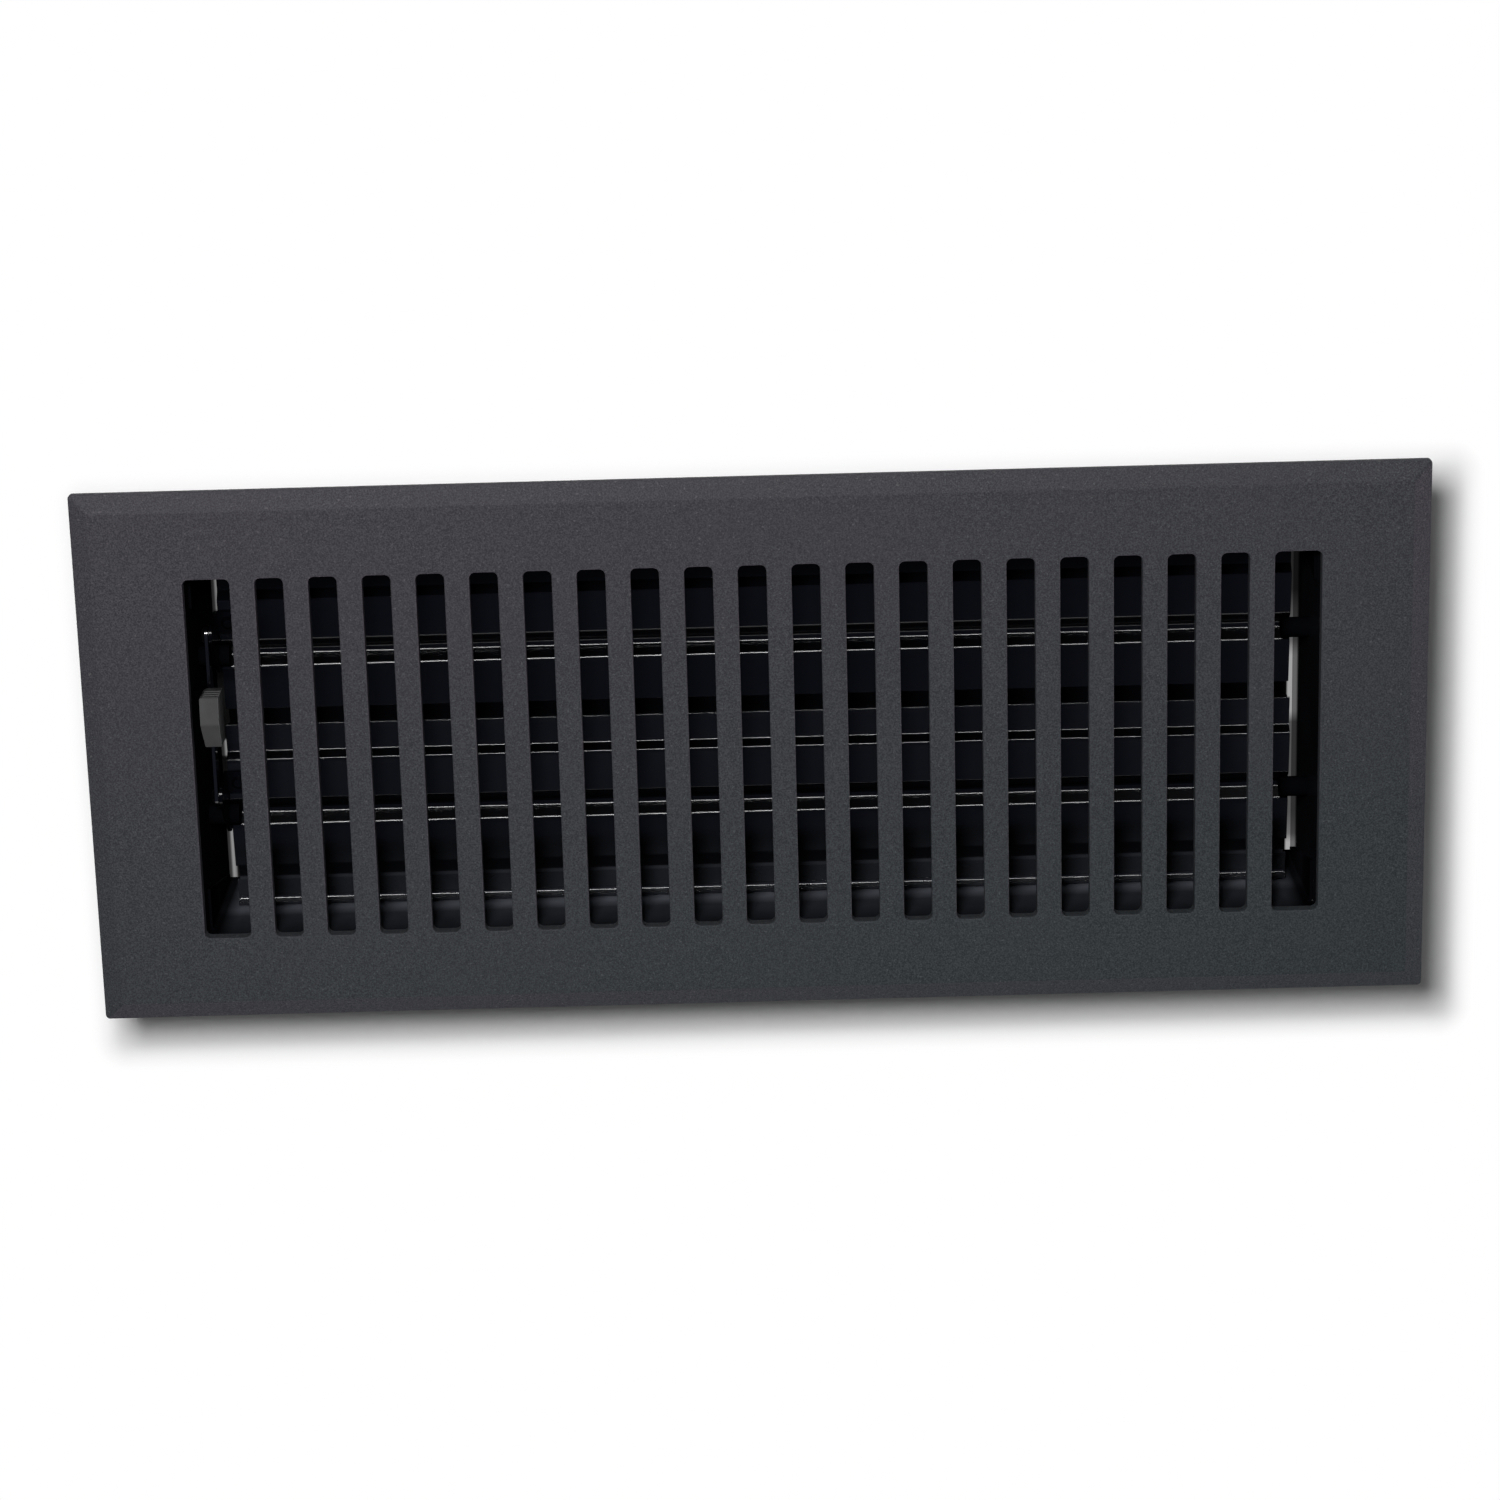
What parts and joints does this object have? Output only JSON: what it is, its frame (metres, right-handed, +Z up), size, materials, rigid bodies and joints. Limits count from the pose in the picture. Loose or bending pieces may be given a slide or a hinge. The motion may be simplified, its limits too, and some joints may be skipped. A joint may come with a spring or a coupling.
{
  "type": "floor register",
  "caption": "Rectangular bar-slotted floor vent cover with a bevelled edge, and a damper box below whose tilting blades are opened by a lever in an end slot.",
  "frame": {"origin": "centre of the damper box's bottom rim, on the surface the part stands on", "axes": "+X along the length away from the lever, +Y across the width, +Z up out of the face"},
  "size_m": [0.343, 0.1396, 0.0564],
  "materials": {
    "powder_coat": "fine matte charcoal powder coat on a casting",
    "black_sheet": "glossy black paint on pressed sheet steel",
    "zinc_steel": "dull plated steel",
    "knob_plastic": "moulded grey plastic, slightly grained"
  },
  "bodies": {
    "register": {"faceplate": "powder_coat", "end_wall_left": "black_sheet", "end_wall_right": "black_sheet", "side_wall_back": "black_sheet", "side_wall_front": "black_sheet", "screw_back_left": "zinc_steel", "screw_back_right": "zinc_steel", "screw_front_left": "zinc_steel", "screw_front_right": "zinc_steel"},
    "back_blade": {"blade_back": "black_sheet", "pivot_pin_back_left": "black_sheet", "pivot_pin_back_right": "black_sheet", "crank_back": "black_sheet", "foot_rivet_back": "zinc_steel", "crank_pin_back": "zinc_steel"},
    "front_blade": {"blade_front": "black_sheet", "pivot_pin_front_left": "black_sheet", "pivot_pin_front_right": "black_sheet", "crank_front": "black_sheet", "foot_rivet_front": "zinc_steel", "crank_pin_front": "zinc_steel"},
    "lever": {"link_bar": "black_sheet", "lever_knob": "knob_plastic"}
  },
  "joints": [
    {"name": "back_blade_tilt", "type": "hinge", "parent": "register", "child": "back_blade", "pos_m": [0, 0.02155, 0.03], "axis": [1, 0, 0], "range_deg": [-2, 42]},
    {"name": "front_blade_tilt", "type": "hinge", "parent": "register", "child": "front_blade", "pos_m": [0, -0.02155, 0.03], "axis": [1, 0, 0], "range_deg": [-2, 42]},
    {"name": "lever_swing", "type": "hinge", "parent": "back_blade", "child": "lever", "pos_m": [-0.14, 0.03, 0.042], "axis": [1, 0, 0], "range_deg": [-42, 2]}
  ],
  "couplings": [
    {"joint": "front_blade_tilt", "follows": "back_blade_tilt", "ratio": 1},
    {"joint": "lever_swing", "follows": "back_blade_tilt", "ratio": -1}
  ]
}
